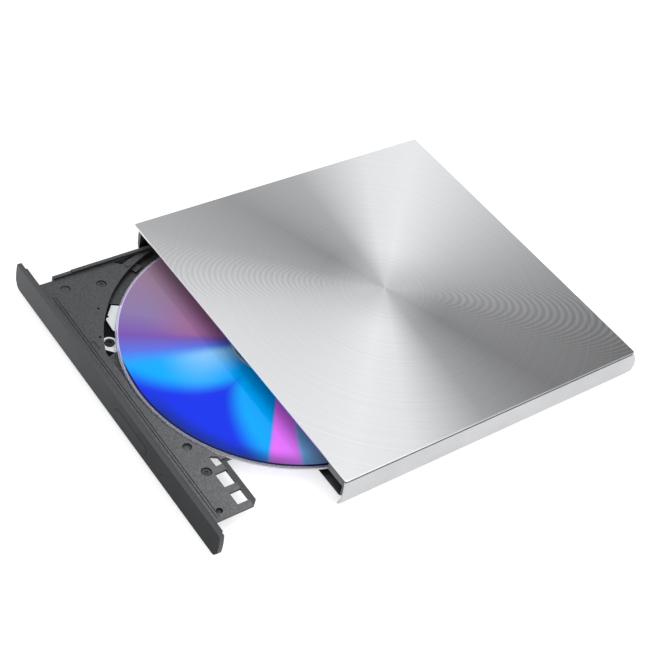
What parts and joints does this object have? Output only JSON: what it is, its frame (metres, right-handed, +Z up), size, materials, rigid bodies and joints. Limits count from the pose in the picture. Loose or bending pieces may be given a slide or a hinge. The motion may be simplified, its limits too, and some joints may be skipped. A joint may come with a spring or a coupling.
{
  "type": "external optical drive",
  "caption": "Slim external optical drive with a spun metal top plate, a curved metal shell and a tray that stands open with a disc on its spindle.",
  "frame": {"origin": "on the table, under the centre of the square top plate", "axes": "+X to the right along the front, +Y to the back, +Z up; the tray opens towards -Y"},
  "size_m": [0.141, 0.1918, 0.0139],
  "materials": {
    "plate_aluminium": "spun, fine concentric lines",
    "case_aluminium": "bead blasted",
    "carrier_plastic": "matt",
    "dark_plastic": "fine grained",
    "frame_plastic": "fine grained",
    "shield_black": "black paint",
    "tray_plastic": "fine grained",
    "guide_plastic": "matt",
    "carriage_plastic": "matt",
    "foot_rubber": "matt",
    "damper_rubber": "matt",
    "sheet_steel": "galvanised",
    "bright_metal": "satin",
    "ground_steel": "ground",
    "screw_steel": "satin",
    "black_screw": "black oxide",
    "board": "solder mask",
    "chip_black": "matt",
    "part_tan": "matt",
    "connector_cream": "matt",
    "ribbon": "polyimide",
    "lens_glass": "polished",
    "disc_surface": "clear layer over a reflecting one"
  },
  "bodies": {
    "case": {"top_plate": "plate_aluminium", "plate_carrier": "carrier_plastic", "lower_shell": "case_aluminium", "mouth_frame": "frame_plastic", "rubber_feet": "foot_rubber", "case_screws": "screw_steel", "drive_base": "sheet_steel", "drive_cover": "sheet_steel", "drive_screws": "screw_steel", "left_guide": "guide_plastic", "right_guide": "guide_plastic", "catch_post": "ground_steel", "insulating_sheet": "chip_black", "main_board": "board", "controller_chip": "chip_black", "bridge_chip": "chip_black", "board_parts": "part_tan", "flex_connector": "connector_cream", "flex_cable": "ribbon", "usb_port": "sheet_steel", "usb_tongue": "chip_black", "ejector_housing": "guide_plastic", "ejector_spring": "ground_steel"},
    "kick_pin": {"ejector_pin": "guide_plastic"},
    "left_runner": {"left_rail": "sheet_steel"},
    "right_runner": {"right_rail": "sheet_steel"},
    "tray": {"tray_bezel": "dark_plastic", "tray_frame": "tray_plastic", "tray_screws": "black_screw", "tray_shield": "shield_black", "traverse_plate": "bright_metal", "damper_bracket": "bright_metal", "damper_grommets": "damper_rubber", "spindle_motor": "sheet_steel", "front_guide_rod": "ground_steel", "rear_guide_rod": "ground_steel", "sled_motor": "sheet_steel", "rod_clamps": "guide_plastic", "tray_board": "board", "eject_switch": "chip_black", "solenoid": "sheet_steel"},
    "latch": {"latch_lever": "bright_metal"},
    "button": {"eject_button": "dark_plastic"},
    "screw": {"lead_screw": "ground_steel"},
    "pickup": {"pickup_carriage": "carriage_plastic", "objective_lens": "lens_glass", "lens_surround": "bright_metal"},
    "spindle": {"turntable": "chip_black", "clamp_fingers": "bright_metal", "disc": "disc_surface"}
  },
  "joints": [
    {"name": "tray_slide", "type": "slide", "parent": "case", "child": "tray", "axis": [0, -1, 0], "range_m": [-0.0486, 0.0814]},
    {"name": "left_rail_slide", "type": "slide", "parent": "case", "child": "left_runner", "axis": [0, -1, 0], "range_m": [-0.0243, 0.0407]},
    {"name": "right_rail_slide", "type": "slide", "parent": "case", "child": "right_runner", "axis": [0, -1, 0], "range_m": [-0.0243, 0.0407]},
    {"name": "disc_spin", "type": "hinge", "parent": "tray", "child": "spindle", "pos_m": [0.0008, -0.0486, 0.006], "axis": [0, 0, 1], "continuous": true},
    {"name": "pickup_slide", "type": "slide", "parent": "tray", "child": "pickup", "axis": [0, 1, 0], "range_m": [0, 0.03]},
    {"name": "lead_screw_turn", "type": "hinge", "parent": "tray", "child": "screw", "pos_m": [0.0208, -0.012, 0.00475], "axis": [0, 1, 0], "range_deg": [0, 3600]},
    {"name": "latch_swing", "type": "hinge", "parent": "tray", "child": "latch", "pos_m": [0.053, -0.1131, 0.0048], "axis": [0, 0, 1], "range_deg": [0, 20]},
    {"name": "eject_button_press", "type": "slide", "parent": "tray", "child": "button", "axis": [0, 1, 0], "range_m": [0, 0.0005], "stiffness_N_per_m": 400, "springref_m": -0.0002},
    {"name": "ejector_push", "type": "slide", "parent": "case", "child": "kick_pin", "axis": [0, -1, 0], "range_m": [0, 0.0028]}
  ],
  "couplings": [
    {"joint": "left_rail_slide", "follows": "tray_slide", "ratio": 0.5},
    {"joint": "right_rail_slide", "follows": "tray_slide", "ratio": 0.5},
    {"joint": "lead_screw_turn", "follows": "pickup_slide", "rad_per_m": 2094.4}
  ]
}
